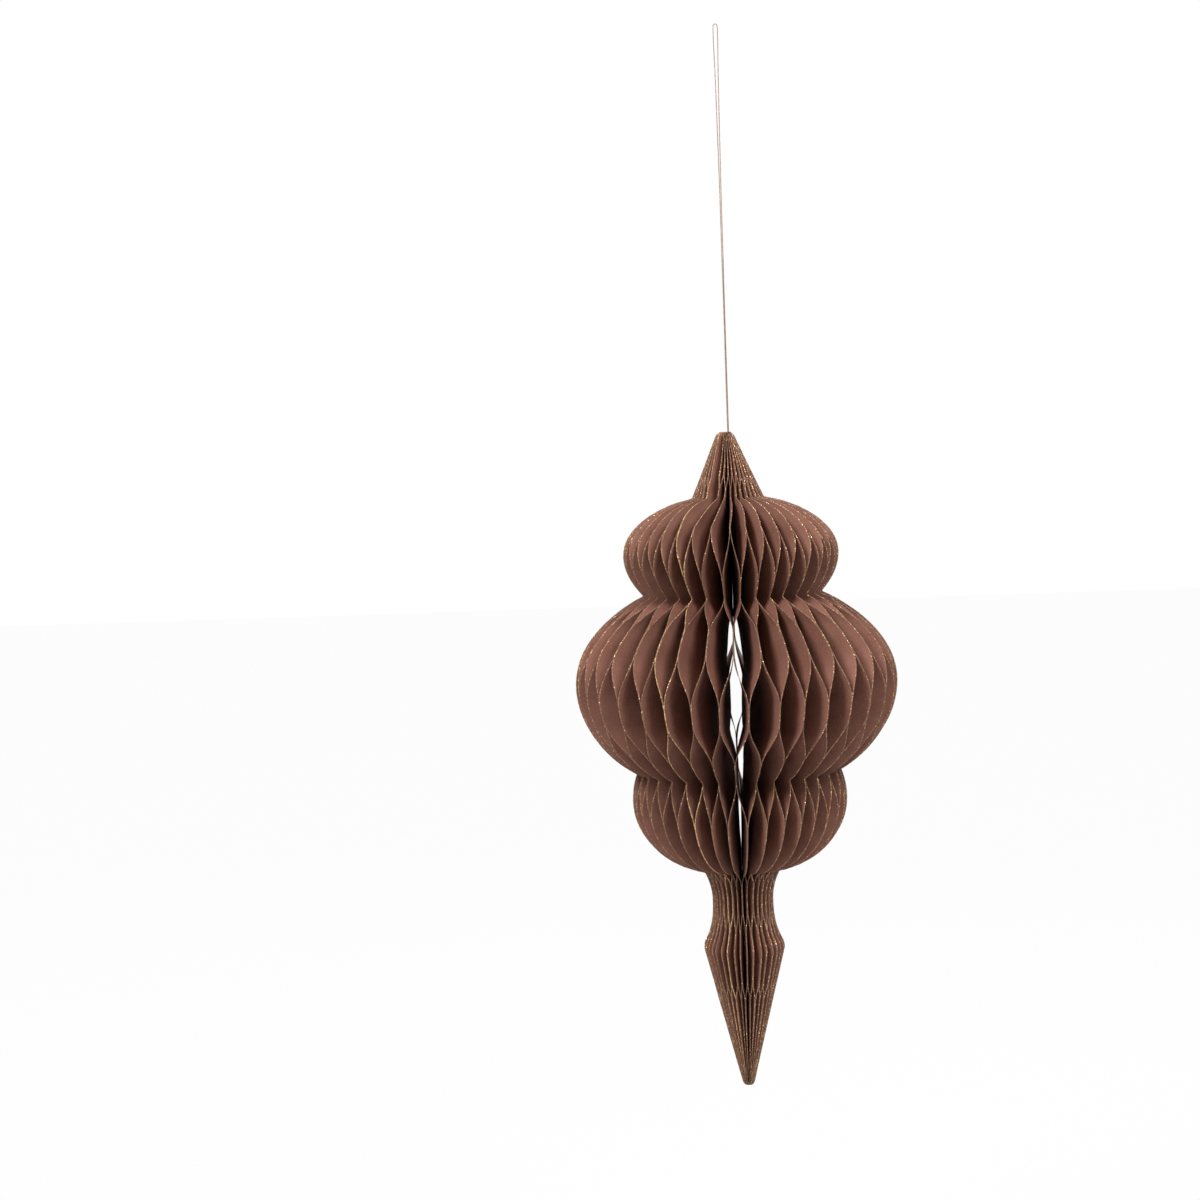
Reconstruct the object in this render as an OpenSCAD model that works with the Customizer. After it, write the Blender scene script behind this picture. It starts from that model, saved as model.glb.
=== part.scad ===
// Hanging honeycomb paper ornament: a ring of die-cut card sheets, glued to their neighbours in staggered
// bands and opened all the way round, on a thin doubled cord.
// The origin is the point under the cord's top bend, where a hook holds it. The sheets hang below it, round Z.

/* [Outline of a sheet, from the top down] */
// Height of the top cone
cone_h = 56; // [40:1:80]
// Radius of the cone's flat top
cone_top_r = 6.6; // [5:0.1:10]
// Radius at the foot of the cone
cone_r = 29.5; // [20:0.5:40]
// Height of the upper lobe above its widest line
upper_rise_h = 47; // [35:1:60]
// Radius of the upper lobe
upper_lobe_r = 91; // [80:1:110]
// Height of the upper lobe below its widest line
upper_fall_h = 34; // [28:1:50]
// Radius of the waist between the upper and the middle lobe
waist_r = 75; // [50:1:78]
// Height of the middle lobe above its widest line
middle_rise_h = 74; // [55:1:95]
// Radius of the middle lobe
middle_lobe_r = 136; // [115:1:160]
// Height of the middle lobe below its widest line
middle_fall_h = 76; // [60:1:100]
// Radius of the waist between the middle and the lower lobe
low_waist_r = 86; // [60:1:90]
// Height of the lower lobe above its widest line
lower_rise_h = 24; // [16:1:40]
// Radius of the lower lobe
lower_lobe_r = 91; // [90.5:0.5:110]
// Height of the lower lobe below its widest line
lower_fall_h = 64; // [50:1:80]
// Radius at the top of the neck
neck_top_r = 32.5; // [27:0.5:40]
// Height from the neck's top to its narrowest line
neck_fall_h = 23; // [14:1:30]
// Radius of the neck at its narrowest line
neck_r = 25.6; // [20:0.2:27]
// Height from the neck's narrowest line to the shoulder of the spike
neck_rise_h = 39; // [28:1:50]
// Radius of the spike's shoulder
shoulder_r = 35; // [30:0.5:45]
// Height of the spike below its shoulder
spike_h = 122; // [90:1:160]
// Radius of the spike's tip
tip_r = 4.2; // [3:0.1:6]

/* [Sheets] */
// Thickness of one sheet of glittered card
sheet_t = 0.5; // [0.3:0.05:0.7]
// Pairs of sheets in the ring
sheet_pairs = 36; // [30:1:36]
// Radius of the core above and below the hollow
core_r = 7; // [5.5:0.5:9]
// Radius of the hollow inside the middle lobe
hollow_r = 76; // [30:1:80]
// Height of the hollow above its widest line
hollow_rise_h = 58; // [50:1:70]
// Height of the hollow below its widest line
hollow_fall_h = 82; // [75:1:100]
// Radius of the hole at the top, which the cord comes out of
top_hole_r = 1.5; // [1.2:0.1:2]
// Radius of the hole at the tip
tip_hole_r = 1.2; // [1:0.1:2]
// Angle of the closing seam, from the front towards the right
seam_angle = -26; // [-180:1:180]
// How far the closing seam stands open at the top, in degrees
seam_open = 36; // [0:1:40]

/* [Cord] */
// Diameter of the cord
cord_d = 0.8; // [0.6:0.1:0.9]
// Length of the cord's loop, from the hook down to the top of the paper
cord_drop = 340; // [340:1:360]
// Radius of the knot
knot_r = 2.2; // [1.9:0.1:2.6]
// Height of the knot
knot_h = 4; // [3:0.5:6]
// Clearance between the knot and the sheets that it bears on
knot_gap = 0.3; // [0.2:0.05:0.4]

/* [Hidden] */
sheets = 2 * sheet_pairs;

// A lobe's edge swells from its end to its widest line, and the exponent makes it fuller or flatter.
function swell(edge_r, wide_r, share, fullness) = edge_r + (wide_r - edge_r) * pow(1 - share * share, fullness);
// The neck's edge curves in to its narrowest line.
function curve_in(narrow_r, edge_r, share, power) = narrow_r + (edge_r - narrow_r) * pow(share, power);
function blend(first, last, share) = first + (last - first) * share;

// The outline is ten stretches, and each has its height and its radius at a share of that height.
stretch_h = [cone_h, upper_rise_h, upper_fall_h, middle_rise_h, middle_fall_h, lower_rise_h, lower_fall_h,
    neck_fall_h, neck_rise_h, spike_h];
function height_above(stretch) = stretch == 0 ? 0 : stretch_h[stretch - 1] + height_above(stretch - 1);
function outline_r(stretch, share) =
    stretch == 0 ? blend(cone_top_r, cone_r, share) :
    stretch == 1 ? swell(cone_r, upper_lobe_r, 1 - share, 0.68) :
    stretch == 2 ? swell(waist_r, upper_lobe_r, share, 1) :
    stretch == 3 ? swell(waist_r, middle_lobe_r, 1 - share, 0.86) :
    stretch == 4 ? swell(low_waist_r, middle_lobe_r, share, 0.8) :
    stretch == 5 ? swell(low_waist_r, lower_lobe_r, 1 - share, 1) :
    stretch == 6 ? swell(neck_top_r, lower_lobe_r, share, 0.6) :
    stretch == 7 ? curve_in(neck_r, neck_top_r, 1 - share, 2) :
    stretch == 8 ? curve_in(neck_r, shoulder_r, share, 2.6) :
    blend(shoulder_r, tip_r, share);

// Glue bands, as the corners of the outline that lie in each: a stretch and a share of its height.
// Even bands glue each odd sheet to the next, and odd bands glue each even sheet to the next.
glue_bands = [
    [[0, 0], [0, 0.13]],
    [[0, 0.96], [1, 0], [1, 0.2], [1, 0.46]],
    [[2, 0.6], [2, 1]],
    [[3, 0.32], [3, 0.56]],
    [[4, 0.14], [4, 0.34]],
    [[4, 0.79], [4, 1]],
    [[6, 0.24], [6, 0.6], [6, 0.86], [6, 1]],
    [[7, 0.4], [8, 0.04]],
    [[8, 0.6], [9, 0]],
    [[9, 0.28], [9, 0.4]],
    [[9, 0.9], [9, 1]]
];
// Corners between one band and the next, where the sheets swing across to their other neighbours.
free_corners = [
    [],
    [[1, 0.74], [2, 0.1]],
    [[3, 0.15]],
    [[3, 0.76], [3, 0.96]],
    [[4, 0.56]],
    [[5, 0.5], [6, 0]],
    [],
    [[8, 0.32]],
    [],
    []
];
bands = len(glue_bands);

function depth_of(corner) = height_above(corner[0]) + corner[1] * stretch_h[corner[0]];
function band_top(band) = depth_of(glue_bands[band][0]);
function band_foot(band) = depth_of(glue_bands[band][len(glue_bands[band]) - 1]);
function band_side(band) = band % 2 == 0 ? -1 : 1;
// A corner between two bands leans by a smooth wave from one band's side to the next one's.
function free_lean(corner, band) =
    band_side(band) * cos(180 * (depth_of(corner) - band_foot(band)) / (band_top(band + 1) - band_foot(band)));

// Every corner of a sheet's outer edge: depth, radius, lean, its band or undef, and the band at or above it.
edge_corners = [
    for (band = [0 : bands - 1]) each concat(
        [for (corner = glue_bands[band])
            [depth_of(corner), outline_r(corner[0], corner[1]), band_side(band), band, band]],
        band == bands - 1 ? [] :
            [for (corner = free_corners[band])
                [depth_of(corner), outline_r(corner[0], corner[1]), free_lean(corner, band), undef, band]]
    )
];
corners = len(edge_corners);
body_h = height_above(len(stretch_h));

// The inner edge has one corner for each band, at the band's middle, or at the sheet's own end.
function inner_depth(band) =
    band == 0 ? 0 :
    band == bands - 1 ? body_h :
    (band_top(band) + band_foot(band)) / 2;
function from_widest(depth) = depth - height_above(4);
function hollow_share(depth) =
    from_widest(depth) / (from_widest(depth) < 0 ? hollow_rise_h : hollow_fall_h);
function inner_r(depth) = max(
    lookup(depth, [
        [0, top_hole_r],
        [height_above(3), core_r],
        [height_above(5), core_r],
        [body_h, tip_hole_r]
    ]),
    hollow_r * sqrt(max(0, 1 - pow(hollow_share(depth), 2)))
);

// The sheets share the circle evenly, apart from the closing seam, which stands open at the top.
function seam_gap(depth) = seam_open * max(0, 1 - depth / band_foot(1));
function half_pitch(depth) = (360 - seam_gap(depth)) / sheets / 2;
function sheet_angle(sheet, depth) = seam_angle + seam_gap(depth) / 2 + (2 * sheet + 1) * half_pitch(depth);

// Half of the sheet's thickness, less where the sheets are packed round the core.
function half_t(r, depth) = min(sheet_t / 2, 0.85 * r * tan(half_pitch(depth)));
// A point of a sheet's right face, for side 1, or of its left face, for side -1.
function sheet_point(sheet, r, depth, lean, side) =
    let (angle = sheet_angle(sheet, depth))
    let (sway = (sheet % 2 == 0 ? 1 : -1) * lean * (r * tan(half_pitch(depth)) - half_t(r, depth)))
    let (across = sway + side * half_t(r, depth))
    [r * sin(angle) + across * cos(angle), -r * cos(angle) + across * sin(angle), -cord_drop - depth];

// Each sheet has its left and right outer corners, and then its left and right inner corners.
sheet_points = 2 * (corners + bands);
honeycomb_points = [
    for (sheet = [0 : sheets - 1]) each [
        for (side = [-1, 1])
            for (corner = edge_corners) sheet_point(sheet, corner[1], corner[0], corner[2], side),
        for (side = [-1, 1])
            for (band = [0 : bands - 1])
                sheet_point(sheet, inner_r(inner_depth(band)), inner_depth(band), band_side(band), side)
    ]
];

// In a glue band, a sheet's right face is the next sheet's left face. The closing seam isn't glued at the top.
function glued_right(sheet, band) =
    band != undef && (sheet % 2 == 0) == (band_side(band) == 1) && !(sheet == sheets - 1 && band == 0);
function glued(sheet, side, band) =
    side == 1 ? glued_right(sheet, band) : glued_right((sheet + sheets - 1) % sheets, band);
function outer_index(sheet, side, corner) =
    side == 1 && glued_right(sheet, edge_corners[corner][3])
        ? outer_index((sheet + 1) % sheets, -1, corner)
        : sheet * sheet_points + (side == 1 ? corners : 0) + corner;
function inner_index(sheet, side, band) =
    side == 1 && glued_right(sheet, band)
        ? inner_index((sheet + 1) % sheets, -1, band)
        : sheet * sheet_points + 2 * corners + (side == 1 ? bands : 0) + band;

// The free corners above the middle of a gap fan from the band above it, and the rest from the band below.
function free_count(band) = len(free_corners[band]) + 1;
function band_last(band) = search(band, [for (corner = edge_corners) corner[4]], 0)[len(glue_bands[band]) - 1];
function turn(face, side) = side == -1 ? face : [face[2], face[1], face[0]];
function side_faces(sheet, side) = [
    for (corner = [0 : corners - 2])
        let (band = edge_corners[corner][4])
        let (first = band_last(band))
        let (in_band = corner < first)
        let (apex = in_band || corner - first < free_count(band) / 2 ? band : band + 1)
        if (!(in_band && glued(sheet, side, band)))
            turn([inner_index(sheet, side, apex), outer_index(sheet, side, corner),
                outer_index(sheet, side, corner + 1)], side),
    for (band = [0 : bands - 2])
        let (corner = band_last(band) + ceil(free_count(band) / 2))
        turn([inner_index(sheet, side, band), outer_index(sheet, side, corner),
            inner_index(sheet, side, band + 1)], side)
];
function edge_faces(sheet) = [
    for (corner = [0 : corners - 2])
        [outer_index(sheet, 1, corner), outer_index(sheet, 1, corner + 1),
            outer_index(sheet, -1, corner + 1), outer_index(sheet, -1, corner)],
    for (band = [0 : bands - 2])
        [inner_index(sheet, -1, band), inner_index(sheet, -1, band + 1),
            inner_index(sheet, 1, band + 1), inner_index(sheet, 1, band)]
];
function end_faces(sheet) = [
    [inner_index(sheet, 1, 0), outer_index(sheet, 1, 0), outer_index(sheet, -1, 0), inner_index(sheet, -1, 0)],
    [inner_index(sheet, -1, bands - 1), outer_index(sheet, -1, corners - 1),
        outer_index(sheet, 1, corners - 1), inner_index(sheet, 1, bands - 1)]
];
honeycomb_faces = [
    for (sheet = [0 : sheets - 1]) each concat(
        side_faces(sheet, -1),
        side_faces(sheet, 1),
        edge_faces(sheet),
        end_faces(sheet)
    )
];

// The knot hangs where the core is just wide enough for it, below the narrow hole.
core_slope = (inner_r(inner_depth(1)) - top_hole_r) / inner_depth(1);
knot_z = -cord_drop - (knot_r + knot_gap - top_hole_r) / core_slope;
knot_top_z = knot_z + knot_h / 2;
knot_end_r = knot_r / 2;

// Route of the cord: up out of the knot, round the hook and back down beside itself.
cord_route = [
    [0.4, 0.3, knot_top_z],
    [0.4, 0.3, -350],
    [0.4, 0.3, -345],
    [0.4, 0.3, -335],
    [0.4, 0.3, -310],
    [0.4, 0.3, -280],
    [0.4, 0.4, -250],
    [0.4, 0.4, -220],
    [0.5, 0.3, -190],
    [0.5, 0.2, -160],
    [0.6, 0.2, -130],
    [0.8, 0.1, -100],
    [1.0, 0.1, -75],
    [1.2, 0, -50],
    [1.5, 0, -30],
    [1.8, 0, -14],
    [1.8, 0, -6],
    [1.7, 0, -1.6],
    [1.2, 0, -0.2],
    [0, 0, 0.4],
    [-1.2, 0, -0.2],
    [-1.7, 0, -1.6],
    [-1.8, 0, -6],
    [-1.8, 0, -14],
    [-1.5, 0, -30],
    [-1.2, 0, -50],
    [-1.0, -0.1, -75],
    [-0.8, -0.1, -100],
    [-0.6, -0.2, -130],
    [-0.5, -0.2, -160],
    [-0.5, -0.3, -190],
    [-0.4, -0.4, -220],
    [-0.4, -0.4, -250],
    [-0.4, -0.3, -280],
    [-0.4, -0.3, -310],
    [-0.4, -0.3, -335],
    [-0.4, -0.3, -345],
    [-0.4, -0.3, -350],
    [-0.4, -0.3, knot_top_z]
];
cord_sides = 8;
rings_per_step = 2;
last_step = len(cord_route) - 2;
// A smooth curve through the route's points: a cubic between each two, which leaves each point along the line
// from the point before it to the point after it.
function route_point(index) = cord_route[min(max(index, 0), last_step + 1)];
function on_curve(step, share) =
    let (before = route_point(step - 1))
    let (start = route_point(step))
    let (stop = route_point(step + 1))
    let (after = route_point(step + 2))
    0.5 * (2 * start + (stop - before) * share
        + (2 * before - 5 * start + 4 * stop - after) * share * share
        + (3 * start - before - 3 * stop + after) * share * share * share);
ring_centres = concat(
    [for (step = [0 : last_step])
        for (part = [0 : rings_per_step - 1])
            on_curve(step, part / rings_per_step)],
    [cord_route[last_step + 1]]
);
rings = len(ring_centres);
function unit(v) = v / norm(v);
// The cord leaves the knot straight up and comes back to it straight down.
function along(ring) =
    ring == 0 ? [0, 0, 1] :
    ring == rings - 1 ? [0, 0, -1] :
    unit(ring_centres[ring + 1] - ring_centres[ring - 1]);
function ring_points(ring) =
    let (out = unit(cross([0, 1, 0], along(ring))))
    let (up = cross(along(ring), out))
    [for (side = [0 : cord_sides - 1])
        let (angle = 360 * side / cord_sides)
        ring_centres[ring] + cord_d / 2 * (cos(angle) * out + sin(angle) * up)];

module paper_honeycomb() {
    color([0.42, 0.27, 0.21])
        polyhedron(points = honeycomb_points, faces = honeycomb_faces, convexity = 20);
}

module hanging_cord() {
    color([0.72, 0.58, 0.42])
        polyhedron(
            points = [for (ring = [0 : rings - 1]) each ring_points(ring)],
            faces = concat(
                [[for (side = [0 : cord_sides - 1]) side]],
                [for (ring = [0 : rings - 2])
                    for (side = [0 : cord_sides - 1])
                        [ring * cord_sides + side, (ring + 1) * cord_sides + side,
                            (ring + 1) * cord_sides + (side + 1) % cord_sides,
                            ring * cord_sides + (side + 1) % cord_sides]],
                [[for (side = [cord_sides - 1 : -1 : 0]) (rings - 1) * cord_sides + side]]
            ),
            convexity = 6
        );
}

module cord_knot() {
    color([0.72, 0.58, 0.42])
        translate([0, 0, knot_z])
            rotate_extrude($fn = 32)
                polygon([
                    [0, -knot_h / 2],
                    [knot_end_r, -knot_h / 2],
                    [0.85 * knot_r, -0.35 * knot_h],
                    [knot_r, -0.12 * knot_h],
                    [knot_r, 0.12 * knot_h],
                    [0.85 * knot_r, 0.35 * knot_h],
                    [knot_end_r, knot_h / 2],
                    [0, knot_h / 2]
                ]);
}

paper_honeycomb();
hanging_cord();
cord_knot();
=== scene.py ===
"""Hanging honeycomb paper ornament, dressed for its looks.

Lengths are in metres, apart from the cord's route in millimetres, and named angles are in degrees. The frame
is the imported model's: the hook is at the origin, +Z is up and the front is -Y. Depth is counted down from
the top of the paper, and an angle round the ring from the front to the right.

Sheet: a flat die-cut card that stands on the axis. Its outer edge follows outline(depth). At a given depth
it lies off its own middle plane by lean(depth) * (radius * tan(half pitch) - half thickness), so in a glue
band it touches one neighbour, in the next band the other, and between the two it swings across by a cosine
wave.
"""
import math

import bpy
import numpy as np
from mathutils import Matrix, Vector


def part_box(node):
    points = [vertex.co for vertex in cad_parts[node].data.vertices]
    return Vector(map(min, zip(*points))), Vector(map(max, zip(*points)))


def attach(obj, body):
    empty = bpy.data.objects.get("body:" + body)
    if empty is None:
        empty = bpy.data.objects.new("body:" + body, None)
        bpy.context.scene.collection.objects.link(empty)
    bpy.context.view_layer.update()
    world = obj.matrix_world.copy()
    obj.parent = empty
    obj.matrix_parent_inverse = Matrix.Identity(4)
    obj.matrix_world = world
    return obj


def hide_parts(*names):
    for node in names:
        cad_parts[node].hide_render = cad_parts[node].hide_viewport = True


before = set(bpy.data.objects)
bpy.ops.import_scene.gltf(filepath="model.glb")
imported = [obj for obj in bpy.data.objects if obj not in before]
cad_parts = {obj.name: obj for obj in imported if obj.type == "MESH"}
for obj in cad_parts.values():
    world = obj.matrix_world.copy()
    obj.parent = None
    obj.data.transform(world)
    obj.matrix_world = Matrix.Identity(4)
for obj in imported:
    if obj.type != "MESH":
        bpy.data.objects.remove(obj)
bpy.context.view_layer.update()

# Camera
camera_data = bpy.data.cameras.new("camera")
camera_data.sensor_width = 36.0
camera_data.lens = 74.34
camera = bpy.data.objects.new("camera", camera_data)
camera.location = (0.0, -2.1, -0.351)
camera.rotation_euler = (math.radians(86.52), math.radians(2.026), math.radians(2.965))
bpy.context.scene.collection.objects.link(camera)
bpy.context.scene.camera = camera
bpy.context.scene.view_settings.view_transform = "Standard"


# Meshes
def make_object(name, points, quads, smooth=True):
    """A mesh object from an (n, 3) array of points and an (m, 4) array of corner indices."""
    mesh = bpy.data.meshes.new(name)
    mesh.vertices.add(len(points))
    mesh.vertices.foreach_set("co", np.asarray(points, dtype=np.float32).ravel())
    mesh.loops.add(quads.size)
    mesh.loops.foreach_set("vertex_index", quads.astype(np.int32).ravel())
    mesh.polygons.add(len(quads))
    mesh.polygons.foreach_set("loop_start", np.arange(0, quads.size, 4, dtype=np.int32))
    mesh.polygons.foreach_set("use_smooth", np.full(len(quads), smooth))
    mesh.update()
    mesh.validate()
    made = bpy.data.objects.new(name, mesh)
    bpy.context.scene.collection.objects.link(made)
    return made


def add_attribute(made, name, values):
    """One number for each vertex, for the materials."""
    attribute = made.data.attributes.new(name, "FLOAT", "POINT")
    attribute.data.foreach_set("value", np.asarray(values, dtype=np.float32).ravel())


def tube_quads(rings, sides):
    """Quads of an open tube whose points are ring after ring."""
    ring, side = np.meshgrid(np.arange(rings - 1), np.arange(sides), indexing="ij")
    here = ring * sides
    there = (ring + 1) * sides
    turn = (side + 1) % sides
    return np.stack([here + side, here + turn, there + turn, there + side], axis=-1).reshape(-1, 4)


# Cord
CORD_DIAMETER = 0.0008
PLIES = 2
TWIST_LENGTH = 0.0032
GROOVE_DEPTH = 0.3
CORD_SIDES = 10
CORD_STEP = 0.00045
# The strand that comes up out of the knot. The other one is the same, turned half way round the axis.
RISING_STRAND = [
    [0.4, 0.3, -362.91], [0.4, 0.3, -350], [0.4, 0.3, -345], [0.4, 0.3, -335], [0.4, 0.3, -310],
    [0.4, 0.3, -280], [0.4, 0.4, -250], [0.4, 0.4, -220], [0.5, 0.3, -190], [0.5, 0.2, -160],
    [0.6, 0.2, -130], [0.8, 0.1, -100], [1.0, 0.1, -75], [1.2, 0, -50], [1.5, 0, -30],
    [1.8, 0, -14], [1.8, 0, -6], [1.7, 0, -1.6], [1.2, 0, -0.2],
]
TOP_BEND = [[0, 0, 0.4]]
falling_strand = [[-x, -y, z] for x, y, z in RISING_STRAND[::-1]]
cord_points = np.array(RISING_STRAND + TOP_BEND + falling_strand) / 1000


def smooth_route(points, per_step):
    """A curve through the points, with per_step points to each step of the route.

    Each step is a cubic, which leaves a point along the line from the point before it to the point after it.
    """
    padded = np.vstack([points[:1], points, points[-1:]])
    share = np.linspace(0, 1, per_step, endpoint=False)[None, :, None]
    before, start, stop, after = (padded[k:len(padded) - 3 + k][:, None, :] for k in range(4))
    curve = 0.5 * (
        2 * start + (stop - before) * share
        + (2 * before - 5 * start + 4 * stop - after) * share ** 2
        + (3 * start - before - 3 * stop + after) * share ** 3
    )
    return np.vstack([curve.reshape(-1, 3), points[-1:]])


def even_steps(curve, step):
    """The same curve with its points about one step apart, and the length run at each."""
    run = np.concatenate([[0], np.cumsum(np.linalg.norm(np.diff(curve, axis=0), axis=1))])
    count = max(2, int(run[-1] / step) + 1)
    wanted = np.linspace(0, run[-1], count)
    return np.stack([np.interp(wanted, run, curve[:, k]) for k in range(3)], axis=1), wanted


def twisted_thread(curve, run):
    """The cord, whose plies turn once round each other in every TWIST_LENGTH.

    At each angle, groove = 1 - |cos(PLIES * (angle - twist) / 2)|, and the radius is half the cord's diameter
    times 1 - GROOVE_DEPTH * groove ** 2.
    """
    ahead = np.gradient(curve, axis=0)
    ahead /= np.linalg.norm(ahead, axis=1)[:, None]
    out = np.cross([0.0, 1.0, 0.0], ahead)
    out /= np.linalg.norm(out, axis=1)[:, None]
    up = np.cross(ahead, out)
    angle = np.linspace(0, 2 * math.pi, CORD_SIDES, endpoint=False)[None, :]
    twist = 2 * math.pi * run[:, None] / TWIST_LENGTH
    groove = 1 - np.abs(np.cos(PLIES * (angle - twist) / 2))
    reach = CORD_DIAMETER / 2 * (1 - GROOVE_DEPTH * groove ** 2)
    spoke = np.cos(angle)[..., None] * out[:, None, :] + np.sin(angle)[..., None] * up[:, None, :]
    points = curve[:, None, :] + reach[..., None] * spoke
    made = make_object("cord_thread", points.reshape(-1, 3), tube_quads(len(curve), CORD_SIDES))
    # The groove also sets the shade that the thread's material paints between the plies.
    add_attribute(made, "groove", groove)
    add_attribute(made, "run", np.repeat(run, CORD_SIDES))
    return made


cord_curve, cord_run = even_steps(smooth_route(cord_points, per_step=12), CORD_STEP)
cord = twisted_thread(cord_curve, cord_run)
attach(cord, "root")
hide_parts("hanging_cord")

# Knot, whose top is where the cord's route starts
KNOT_TOP_Z = cord_points[0, 2]
KNOT_H = 0.004
KNOT_R = 0.0022
KNOT_TURNS = 5.0
KNOT_GROOVE = 0.14
# The knot's profile: shares of its height, and shares of its radius there.
PROFILE_H = [0, 0.15, 0.38, 0.62, 0.85, 1]
PROFILE_R = [0.5, 0.85, 1, 1, 0.85, 0.5]
# Its two ends are drawn in to a point, which is this share of their radius.
POINT_SHARE = 1e-3


def wound_knot():
    """A barrel of thread: the knot's profile times 1 - KNOT_GROOVE * (1 - wave ** 0.6).

    The wave is the size of a sine that runs KNOT_TURNS half turns down the knot and half a turn round it.
    """
    rings = 72
    sides = 48
    share = np.linspace(0, 1, rings)
    angle = np.linspace(0, 2 * math.pi, sides, endpoint=False)
    profile = KNOT_R * np.interp(share, PROFILE_H, PROFILE_R)
    wave = np.abs(np.sin(math.pi * KNOT_TURNS * share[:, None] + angle[None, :] / 2))
    reach = profile[:, None] * (1 - KNOT_GROOVE * (1 - wave ** 0.6))
    reach[[0, -1]] *= POINT_SHARE
    height = np.broadcast_to((KNOT_TOP_Z - KNOT_H * share)[:, None], reach.shape)
    points = np.stack([reach * np.cos(angle), reach * np.sin(angle), height], axis=-1)
    made = make_object("knot_turns", points.reshape(-1, 3), tube_quads(rings, sides)[:, ::-1])
    # The groove also sets the shade that the thread's material paints between the turns.
    add_attribute(made, "groove", 1 - wave)
    add_attribute(made, "run", np.repeat(KNOT_H * share, sides))
    return made


knot = wound_knot()
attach(knot, "root")
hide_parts("cord_knot")

# Outline of a sheet, in ten stretches from the top down, with the height of each
CONE, UPPER_RISE, UPPER_FALL, MIDDLE_RISE, MIDDLE_FALL = range(5)
LOWER_RISE, LOWER_FALL, NECK_FALL, NECK_RISE, SPIKE = range(5, 10)
STRETCH_H = np.array([0.056, 0.047, 0.034, 0.074, 0.076, 0.024, 0.0605, 0.0265, 0.039, 0.122])
# Depth at the top of each stretch, and at the tip.
STRETCH_TOP = np.concatenate([[0], np.cumsum(STRETCH_H)])
BODY_H = STRETCH_TOP[-1]
WIDEST = STRETCH_TOP[MIDDLE_FALL]
SHOULDER = STRETCH_TOP[SPIKE]
CONE_TOP_R = 0.0063
CONE_R = 0.0305
UPPER_LOBE_R = 0.091
WAIST_R = 0.075
MIDDLE_LOBE_R = 0.136
LOW_WAIST_R = 0.086
LOWER_LOBE_R = 0.091
NECK_TOP_R = 0.0335
NECK_R = 0.0256
SHOULDER_R = 0.035
TIP_R = 0.0042
# Corners are rounded over a run of depth above and below them, which is longer round the shoulder.
CORNER_RUN = 0.0010
SHOULDER_RUN = 0.0030
SHOULDER_SPREAD = 0.009
# The end corners: the share of the radius that is cut off at the very end, and the height of the cut.
TOP_CUT = 0.34
TOP_CUT_H = 0.0034
TIP_CUT = 0.30
TIP_CUT_H = 0.0030


def blend(first, last, share):
    """first + (last - first) * share."""
    return first + (last - first) * share


def swell(edge_r, wide_r, share, fullness):
    """A lobe's edge, widest at share 0: edge_r + (wide_r - edge_r) * (1 - share ** 2) ** fullness."""
    return blend(edge_r, wide_r, np.clip(1 - share ** 2, 0, 1) ** fullness)


def outline(depth):
    """Radius of the sheet's outer edge, stretch by stretch."""
    stretch = np.clip(np.searchsorted(STRETCH_TOP, depth, side="right") - 1, CONE, SPIKE)
    share = np.clip((depth - STRETCH_TOP[stretch]) / STRETCH_H[stretch], 0, 1)
    return np.choose(stretch, [
        blend(CONE_TOP_R, CONE_R, share),
        swell(CONE_R, UPPER_LOBE_R, 1 - share, 0.68),
        swell(WAIST_R, UPPER_LOBE_R, share, 1),
        swell(WAIST_R, MIDDLE_LOBE_R, 1 - share, 0.86),
        swell(LOW_WAIST_R, MIDDLE_LOBE_R, share, 0.8),
        swell(LOW_WAIST_R, LOWER_LOBE_R, 1 - share, 1),
        swell(NECK_TOP_R, LOWER_LOBE_R, share, 0.6),
        blend(NECK_R, NECK_TOP_R, (1 - share) ** 2),
        blend(NECK_R, SHOULDER_R, share ** 2.6),
        blend(SHOULDER_R, TIP_R, share),
    ])


def end_corner(distance, cut, height):
    """The share of the radius that is left near an end: 1 - cut * (1 - distance / height) ** 2."""
    return 1 - cut * np.clip(1 - distance / height, 0, 1) ** 2


def rounded_outline(depth):
    """The outline averaged over nine even steps of a short run of depths, with its end corners cut off."""
    half_run = CORNER_RUN + SHOULDER_RUN * np.exp(-((depth - SHOULDER) / SHOULDER_SPREAD) ** 2)
    half_run = np.minimum(half_run, np.minimum(depth, BODY_H - depth))
    along = np.linspace(-1, 1, 9)[:, None]
    smooth = outline(np.clip(depth + half_run * along, 0, BODY_H)).mean(axis=0)
    at_top = end_corner(depth, TOP_CUT, TOP_CUT_H)
    at_tip = end_corner(BODY_H - depth, TIP_CUT, TIP_CUT_H)
    return smooth * at_top * at_tip


# Glue bands
def at(stretch, share):
    """Depth at a share of a stretch's height."""
    return STRETCH_TOP[stretch] + share * STRETCH_H[stretch]


# The top and the foot of each glue band. The bands glue a sheet to its two neighbours by turns.
BANDS = [
    (at(CONE, 0), at(CONE, 0.66)),
    (at(CONE, 0.84), at(UPPER_RISE, 0.46)),
    (at(UPPER_FALL, 0.6), at(UPPER_FALL, 1)),
    (at(MIDDLE_RISE, 0.32), at(MIDDLE_RISE, 0.56)),
    (at(MIDDLE_FALL, 0.14), at(MIDDLE_FALL, 0.34)),
    (at(MIDDLE_FALL, 0.79), at(MIDDLE_FALL, 1)),
    (at(LOWER_FALL, 0.24), at(LOWER_FALL, 0.97)),
    (at(NECK_FALL, 0.4), at(NECK_RISE, 0.15)),
    (at(NECK_RISE, 0.66), at(SPIKE, 0.24)),
    (at(SPIKE, 0.36), at(SPIKE, 0.84)),
    (at(SPIKE, 0.93), at(SPIKE, 1)),
]


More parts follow.
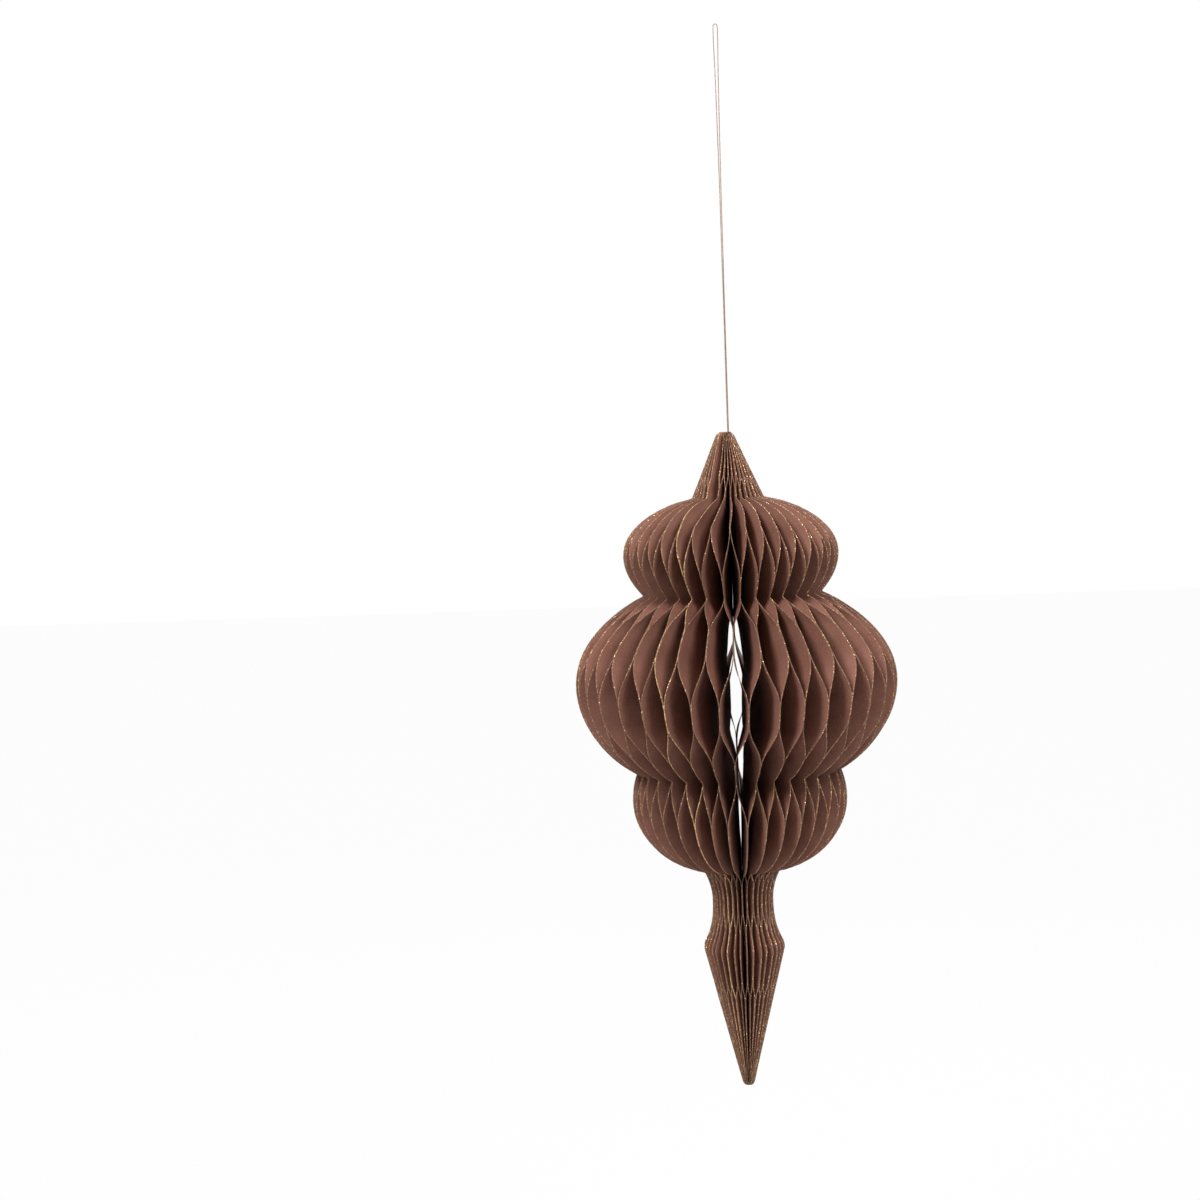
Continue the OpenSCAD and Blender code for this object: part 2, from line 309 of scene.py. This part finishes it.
def lean(depth):
    """-1 or +1 in a band, by turns, and a cosine wave from one band's side to the next one's between them."""
    value = np.zeros_like(depth)
    for band, (top, foot) in enumerate(BANDS):
        side = -1.0 if band % 2 == 0 else 1.0
        value = np.where((depth >= top) & (depth <= foot), side, value)
        if band + 1 < len(BANDS):
            next_top = BANDS[band + 1][0]
            free = (depth > foot) & (depth < next_top)
            value = np.where(free, side * np.cos(math.pi * (depth - foot) / (next_top - foot)), value)
    return value


# Ring of sheets
TOP_Z = round(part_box("paper_honeycomb")[1][2], 5)
SHEETS = 72
SHEET_T = 0.00035
# The glittered edge is a little thicker than the card.
EDGE_T = 0.00044
EDGE_W = 0.0009
# How far a sheet may stand out or in, because no two are cut or glued quite alike.
SHEET_UNEVEN = 0.00035
# The closing seam's place, and how far it stands open at the top.
SEAM_ANGLE = -26.0
SEAM_OPEN = 36.0
# Four stations across a sheet: core, middle, just inside the edge, and the edge.
STATION_SHARE = np.array([0.0, 0.5, 1.0, 1.0])
STATION_INSET = np.array([0.0, 0.0, EDGE_W, 0.0])
STATION_RIM = np.array([0.0, 0.0, 0.0, 1.0])
STATION_T = blend(SHEET_T, EDGE_T, STATION_RIM)
# Where the sheets crowd together, each takes up no more than this share of its room at each station.
CROWDED_SHARE = np.array([0.92, 0.7, 0.25, 0.25])
# Round a sheet's section: core to edge on the left face, then edge to core on the right face.
SECTION = [0, 1, 2, 3, 3, 2, 1, 0]
SECTION_SIDE = np.array([-1.0, -1.0, -1.0, -1.0, 1.0, 1.0, 1.0, 1.0])

# The narrow core, and the hollow inside the middle lobe
TOP_HOLE_R = 0.0015
CORE_DEPTH = [0, STRETCH_TOP[MIDDLE_RISE], STRETCH_TOP[LOWER_RISE], 0.312, 0.340, 0.352, BODY_H]
CORE_R = [TOP_HOLE_R, 0.0046, 0.024, 0.017, 0.011, 0.0036, 0.001]
HOLLOW_R = 0.076
HOLLOW_RISE_H = 0.058
HOLLOW_FALL_H = 0.082
# Light shows through the hollow along this angle. Beside it, by the sine of the angle, it is narrower.
SLOT_ANGLE = -1.0
BESIDE_SLOT = [0.05, 0.14, 0.22]
HOLLOW_SHARE = [1.0, 0.72, 0.5]

# Levels of points down a sheet, with some of their own for the round corners and the ends
LEVEL_STEP = 0.0042
CORNERS = STRETCH_TOP[[UPPER_RISE, MIDDLE_RISE, LOWER_RISE, NECK_FALL, SPIKE]]
BY_CORNER = np.array([-0.0024, -0.0011, 0.0011, 0.0024, 0.0040])
BY_TOP = np.array([0.0009, 0.0021, 0.0034])
BY_TIP = np.array([0.0030, 0.0018, 0.0008, 0.0])

# Hand-made unevenness: how far the back of the ring is turned, and waves round it. Each wave has its size in
# degrees, its count round the ring, and its start and its drift with depth in radians.
BACK_TURN = 1.3
LONG_WAVES = [(0.55, 3, 1.1, 7), (0.55, 7, 2.3, -11), (0.32, 13, 0.7, 17)]
SHORT_WAVES = [(0.75, 11, 0.4, 9), (1.05, 18, 2.9, -6)]
# Short waves start where the outline is narrower than one radius, and are whole at the other.
SHORT_START_R = 0.050
SHORT_WHOLE_R = 0.018
# The unevenness fades out over this depth towards the top.
EVEN_TOP_H = 0.08
# How far the paper stands to the side of the core, at some depths. The hole for the cord stays in its place.
SLIP_DEPTH = [0, 0.056, 0.13, 0.21]
SLIP = [-0.0030, -0.0019, -0.0008, 0]
SLIP_FADE = 0.004
# Steps of the golden ratio give neighbouring sheets shades that are far apart.
GOLDEN_STEP = 0.6180339


def core(depth, hollow_r):
    """Radius of the inner edge: the narrow core, or the egg-shaped hollow where that is wider.

    The hollow is hollow_r * sqrt(1 - share ** 2), with the share counted from the middle lobe's widest line.
    """
    share = (depth - WIDEST) / np.where(depth < WIDEST, HOLLOW_RISE_H, HOLLOW_FALL_H)
    narrow = np.interp(depth, CORE_DEPTH, CORE_R)
    return np.maximum(narrow, hollow_r * np.sqrt(np.clip(1 - share ** 2, 0, 1)))


def own_hollow_r(sheet):
    """Each sheet's radius of the hollow: HOLLOW_R at the slot, and a smaller share of it beside the slot."""
    middle = math.radians(SEAM_ANGLE) + (2 * sheet + 1) * math.pi / SHEETS
    from_slot = np.abs(np.sin(middle - math.radians(SLOT_ANGLE)))
    return HOLLOW_R * np.interp(from_slot, BESIDE_SLOT, HOLLOW_SHARE)


def level_depths():
    """Every end of a stretch or a band, with even levels between them, and the levels by corners and ends."""
    ends = np.unique(np.round(np.concatenate([STRETCH_TOP, np.array(BANDS).ravel()]), 7))
    parts = [(CORNERS[:, None] + BY_CORNER).ravel(), BY_TOP, BODY_H - BY_TIP]
    for start, stop in zip(ends[:-1], ends[1:]):
        count = max(2, int(round((stop - start) / LEVEL_STEP)))
        parts.append(blend(start, stop, np.arange(count) / count))
    return np.unique(np.round(np.concatenate(parts), 6))


def waves(table, angle, depth):
    """The sum of size * sin(count * angle + start + drift * depth) over a table of waves."""
    return sum(size * np.sin(count * angle + start + drift * depth) for size, count, start, drift in table)


def wander(angle, depth):
    """How far a point is turned by hand-made unevenness, in radians.

    Long waves squeeze some columns of cells and widen others. On the thin cone, neck and spike, short waves
    are added, so that the sheets there bunch together in twos and threes.
    """
    thinness = np.clip((SHORT_START_R - outline(depth)) / (SHORT_START_R - SHORT_WHOLE_R), 0, 1)
    long_turn = BACK_TURN / 2 * (1 - np.cos(angle)) + waves(LONG_WAVES, angle, depth)
    turn = np.radians(long_turn + thinness * waves(SHORT_WAVES, angle, depth))
    return turn * np.clip(depth / EVEN_TOP_H, 0, 1)


def sheet_quads(levels, around):
    """One sheet: a tube down its levels, closed at both ends by a strip of quads between its two faces."""
    strip = np.array([[k, k + 1, around - 2 - k, around - 1 - k] for k in range(around // 2 - 1)])
    return np.vstack([tube_quads(levels, around), strip[:, ::-1], strip + (levels - 1) * around])


def sheet_ring():
    """All the sheets, as an array over sheets, levels and the points round a sheet's section."""
    depth = level_depths()
    sheet = np.arange(SHEETS)
    stand_out = np.random.default_rng(7).uniform(-SHEET_UNEVEN, SHEET_UNEVEN, SHEETS)
    outer = (rounded_outline(depth)[None] + stand_out[:, None])[..., None]
    inner = core(depth[None], own_hollow_r(sheet)[:, None])[..., None]
    station_r = blend(inner, outer, STATION_SHARE) - STATION_INSET

    seam_gap = SEAM_OPEN * np.clip(1 - depth / BANDS[1][1], 0, None)
    half_pitch = np.radians((360 - seam_gap) / SHEETS / 2)
    middle = math.radians(SEAM_ANGLE) + np.radians(seam_gap) / 2 + (2 * sheet[:, None] + 1) * half_pitch
    room = station_r * np.tan(half_pitch)[None, :, None]
    half_t = np.minimum(STATION_T / 2, CROWDED_SHARE * room)
    turn_about = np.where(sheet % 2 == 0, 1.0, -1.0)[:, None, None]
    sway = turn_about * lean(depth)[None, :, None] * (room - half_t)

    section_r = station_r[:, :, SECTION]
    across = sway[:, :, SECTION] + SECTION_SIDE * half_t[:, :, SECTION]
    angle = middle[..., None] + np.arctan2(across, section_r)
    angle = angle + wander(angle, depth[None, :, None])
    reach = np.hypot(section_r, across)
    slip = np.interp(depth, SLIP_DEPTH, SLIP)[None, :, None]
    slip = slip * np.clip((reach - TOP_HOLE_R) / SLIP_FADE, 0, 1)
    height = np.broadcast_to((TOP_Z - depth)[None, :, None], reach.shape)
    points = np.stack([reach * np.sin(angle) + slip, -reach * np.cos(angle), height], axis=-1)

    levels, around = reach.shape[1:]
    first_point = (sheet * levels * around)[:, None, None]
    quads = (sheet_quads(levels, around)[None] + first_point).reshape(-1, 4)
    made = make_object("honeycomb_sheets", points.reshape(-1, 3), quads)
    by_seam = np.where((sheet == 0) | (sheet == SHEETS - 1), 1.0, 0.0)
    for name, values in (
        ("rim", STATION_RIM[SECTION]),
        ("from_edge", outer - section_r),
        ("seam", by_seam[:, None, None]),
        ("sheet", (sheet * GOLDEN_STEP % 1.0)[:, None, None]),
    ):
        add_attribute(made, name, np.broadcast_to(values, reach.shape))
    return made


honeycomb = sheet_ring()
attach(honeycomb, "root")
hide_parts("paper_honeycomb")


# Shader nodes
class Wire:
    """A shader socket with arithmetic: an expression on wires adds its Math nodes."""

    def __init__(self, tree, socket):
        self.tree = tree
        self.socket = socket

    def _math(self, operation, *values):
        return self.tree.node("ShaderNodeMath", {"operation": operation}, dict(enumerate(values)))

    def __add__(self, other):
        return self._math("ADD", self, other)

    def __radd__(self, other):
        return self._math("ADD", other, self)

    def __sub__(self, other):
        return self._math("SUBTRACT", self, other)

    def __rsub__(self, other):
        return self._math("SUBTRACT", other, self)

    def __mul__(self, other):
        return self._math("MULTIPLY", self, other)

    def __rmul__(self, other):
        return self._math("MULTIPLY", other, self)

    def sine(self):
        return self._math("SINE", self)

    def over(self, low, high):
        """0 below low, 1 above high and a straight ramp between."""
        values = {"Value": self, "From Min": low, "From Max": high}
        return self.tree.node("ShaderNodeMapRange", {"clamp": True}, values, "Result")


class Tree:
    """The nodes of a material or of the world."""

    def __init__(self, owner):
        owner.use_nodes = True
        self.nodes = owner.node_tree.nodes
        self.links = owner.node_tree.links
        self.shader = self.nodes.get("Principled BSDF")

    def put(self, node, key, value):
        """A wire is linked to the node's socket, and anything else becomes the socket's value."""
        if isinstance(value, Wire):
            self.links.new(value.socket, node.inputs[key])
        else:
            node.inputs[key].default_value = value

    def node(self, kind, settings, values, output=0):
        """Any node, with its settings first and then its sockets' values, as the wire from one output."""
        made = self.nodes.new(kind)
        for key, value in settings.items():
            if key == "stops":
                ramp = made.color_ramp
                ramp.elements[0].position, ramp.elements[0].color = value[0]
                ramp.elements[1].position, ramp.elements[1].color = value[-1]
                for position, colour in value[1:-1]:
                    ramp.elements.new(position).color = colour
            else:
                setattr(made, key, value)
        for key, value in values.items():
            self.put(made, key, value)
        return Wire(self, made.outputs[output])

    def mix(self, factor, first, second):
        """A blend of two colours, through the Mix node's colour sockets."""
        return self.node("ShaderNodeMix", {"data_type": "RGBA"}, {0: factor, 6: first, 7: second}, 2)

    def attribute(self, name):
        return self.node("ShaderNodeAttribute", {"attribute_name": name}, {}, "Fac")

    def place(self):
        return self.node("ShaderNodeTexCoord", {}, {}, "Object")

    def noise(self, scale, detail, rough):
        values = {"Vector": self.place(), "Scale": scale, "Detail": detail, "Roughness": rough}
        return self.node("ShaderNodeTexNoise", {}, values)

    def flakes(self, scale):
        """A random colour for each flake of glitter, and a random number out of it."""
        colour = self.node("ShaderNodeTexVoronoi", {}, {"Vector": self.place(), "Scale": scale}, "Color")
        return colour, self.node("ShaderNodeSeparateColor", {}, {0: colour})

    def vector(self, operation, values):
        return self.node("ShaderNodeVectorMath", {"operation": operation}, values)

    def tilted(self, normal, flake_colour, amount):
        """The normal turned a random way on each flake: normal + amount * (colour - 0.5), at length 1."""
        random_way = self.vector("SUBTRACT", {0: flake_colour, 1: (0.5, 0.5, 0.5)})
        push = self.vector("SCALE", {0: random_way, "Scale": amount})
        return self.vector("NORMALIZE", {0: self.vector("ADD", {0: normal, 1: push})})

    def bump(self, height, strength):
        return self.node("ShaderNodeBump", {}, {"Height": height, "Strength": strength, "Distance": 1.0})


# Materials
WHITE = (1, 1, 1, 1)
CARD_DARK = (0.170, 0.064, 0.041, 1)
CARD_LIGHT = (0.285, 0.124, 0.087, 1)
DUST_GOLD = (0.46, 0.28, 0.14, 1)
# A flake of the crust turns from tan to bright metal as its random number rises from the one to the other.
TAN_BELOW = 0.79
BRIGHT_ABOVE = 0.86
CRUST_STOPS = [
    (0.0, (0.105, 0.047, 0.031, 1)),
    (0.45, (0.18, 0.088, 0.056, 1)),
    (TAN_BELOW, (0.25, 0.134, 0.086, 1)),
    (BRIGHT_ABOVE, (0.60, 0.38, 0.17, 1)),
    (1.0, (0.88, 0.62, 0.29, 1)),
]
# The dark thread colour is painted shade in the grooves, mixed with darker fibres; the light one is on the
# crowns.
THREAD_DARK = (0.10, 0.055, 0.036, 1)
THREAD_LIGHT = (0.33, 0.20, 0.135, 1)
THREAD_GOLD = (0.44, 0.29, 0.18, 1)


def card_material():
    """Matte card with a dusting of glitter, and a rim crusted with gold flakes."""
    material = bpy.data.materials.new("glitter_card")
    tree = Tree(material)
    rim = tree.attribute("rim")
    from_edge = tree.attribute("from_edge")
    sheet = tree.attribute("sheet")
    seam = tree.attribute("seam")
    fibres = tree.noise(scale=2600.0, detail=3.0, rough=0.6)
    clouds = tree.noise(scale=38.0, detail=3.0, rough=0.55)
    lumps = tree.noise(scale=900.0, detail=2.0, rough=0.6)
    wear = tree.noise(scale=160.0, detail=3.0, rough=0.6)
    dust = tree.flakes(scale=2100.0)[1]
    crust_colour, crust = tree.flakes(scale=1450.0)

    # The card itself: reddish brown, each sheet a little lighter or darker, clouded and fibrous.
    shade = (clouds * 0.5 + fibres * 0.3 + sheet * 0.2).over(0.3, 0.7)
    card = tree.mix(shade, CARD_DARK, CARD_LIGHT)
    specks = dust.over(0.90, 0.95)
    dusted = tree.mix(specks * 0.35, card, DUST_GOLD)

    # The rim: tan and gold flakes, thinner where the edge is worn, and brighter on the closing seam.
    spill = (1 - from_edge.over(0.0, 0.0008)) * 0.25
    patch = wear.over(0.36, 0.5)
    covered = (rim.over(0.15, 0.5) * 0.9 + spill * patch) * (0.65 + patch * 0.35)
    gold = tree.node("ShaderNodeValToRGB", {"stops": CRUST_STOPS}, {"Fac": crust + seam * 0.3})
    colour = tree.mix(covered.over(0.0, 1.0), dusted, gold)
    glint = covered * crust.over(TAN_BELOW, BRIGHT_ABOVE)

    tree.put(tree.shader, "Base Color", colour)
    tree.put(tree.shader, "Roughness", 0.84 - glint * 0.5 - specks * 0.25)
    tree.put(tree.shader, "Metallic", glint * 0.7 + specks * 0.2)
    height = fibres * 0.00004 + covered * (crust * 0.00018 + lumps * 0.00018)
    rough_normal = tree.bump(height, 0.7)
    tree.put(tree.shader, "Normal", tree.tilted(rough_normal, crust_colour, glint * 1.1 + specks * 0.5))
    return material


def cord_material():
    """Gold and tan thread with painted shade: each of the plies is lighter on its crown and painted darker in
    the grooves, also between the knot's turns, and a metal filament glints along it.
    """
    material = bpy.data.materials.new("cord_thread")
    tree = Tree(material)
    groove = tree.attribute("groove")
    run = tree.attribute("run")
    fuzz = tree.noise(scale=3000.0, detail=2.0, rough=0.6)
    bands = tree.noise(scale=220.0, detail=2.0, rough=0.5)
    glint_colour, glints = tree.flakes(scale=1400.0)
    # Painted shade: darker in the grooves between the plies and the knot's turns, with some of the fibres'
    # own fuzz.
    groove_shade_and_fuzz = (1 - groove) * 0.7 + fuzz * 0.3
    thread = tree.mix(groove_shade_and_fuzz.over(0.15, 0.85), THREAD_DARK, THREAD_LIGHT)
    colour = tree.mix(bands.over(0.45, 0.65) * 0.4, thread, THREAD_GOLD)
    tree.put(tree.shader, "Base Color", colour)
    tree.put(tree.shader, "Roughness", 0.62 - glints.over(0.6, 0.9) * 0.3)
    tree.put(tree.shader, "Metallic", glints.over(0.6, 0.8) * 0.5)
    thread_normal = tree.bump(fuzz * 0.00006 + (run * 9000.0).sine() * 0.00001, 0.6)
    tree.put(tree.shader, "Normal", tree.tilted(thread_normal, glint_colour, glints.over(0.7, 0.9) * 0.5))
    return material


honeycomb.data.materials.append(card_material())
thread_material = cord_material()
cord.data.materials.append(thread_material)
knot.data.materials.append(thread_material)

# Light and background
LAMP_AIM = (0, 0, -0.6)
WORLD_LIGHT = 0.22
FLOOR_GREY = (0.86, 0.86, 0.86, 1)
FLOOR_WHITENESS = 0.97
FLOOR_REACH = 12.0
FLOOR_Z = -1.25


def area_light(name, place, size, power):
    """A round lamp that points at the middle of the paper."""
    data = bpy.data.lights.new(name, "AREA")
    data.shape = "DISK"
    data.size = size
    data.energy = power
    lamp = bpy.data.objects.new(name, data)
    lamp.location = place
    direction = Vector(LAMP_AIM) - Vector(place)
    lamp.rotation_euler = direction.to_track_quat("-Z", "Y").to_euler()
    bpy.context.scene.collection.objects.link(lamp)


area_light("key", (-1.0, -1.5, 0.9), size=0.8, power=49)
area_light("fill", (1.05, -1.5, 0.85), size=1.0, power=35)
area_light("back", (0.6, 1.8, 0.6), size=1.2, power=22)


def white_for_eyes(tree, for_eyes, for_others):
    """One number for camera, glossy and transmission rays, and another for the rest."""
    seen = tree.node("ShaderNodeLightPath", {}, {}, "Is Camera Ray")
    gloss = tree.node("ShaderNodeLightPath", {}, {}, "Is Glossy Ray")
    through = tree.node("ShaderNodeLightPath", {}, {}, "Is Transmission Ray")
    return (seen + gloss + through).over(0.0, 1.0) * (for_eyes - for_others) + for_others


world = bpy.data.worlds.new("studio")
bpy.context.scene.world = world
world_tree = Tree(world)
background = world_tree.nodes["Background"]
world_tree.put(background, "Color", WHITE)
world_tree.put(background, "Strength", white_for_eyes(world_tree, 1.0, WORLD_LIGHT))


def pale_floor():
    """A wide floor below the ornament. It looks white to the eye, and keeps a soft shadow."""
    corners = np.array([[-1, -1], [1, -1], [1, 1], [-1, 1]]) * FLOOR_REACH
    points = np.column_stack([corners, np.full(4, FLOOR_Z)])
    made = make_object("floor", points, np.array([[0, 1, 2, 3]]), smooth=False)
    material = bpy.data.materials.new("pale_floor")
    tree = Tree(material)
    tree.put(tree.shader, "Base Color", FLOOR_GREY)
    tree.put(tree.shader, "Roughness", 0.9)
    matte = Wire(tree, tree.shader.outputs[0])
    glow = tree.node("ShaderNodeEmission", {}, {"Color": WHITE, "Strength": 1.0})
    whiteness = white_for_eyes(tree, FLOOR_WHITENESS, 0.0)
    both = tree.node("ShaderNodeMixShader", {}, {0: whiteness, 1: matte, 2: glow})
    tree.put(tree.nodes["Material Output"], "Surface", both)
    made.data.materials.append(material)


pale_floor()
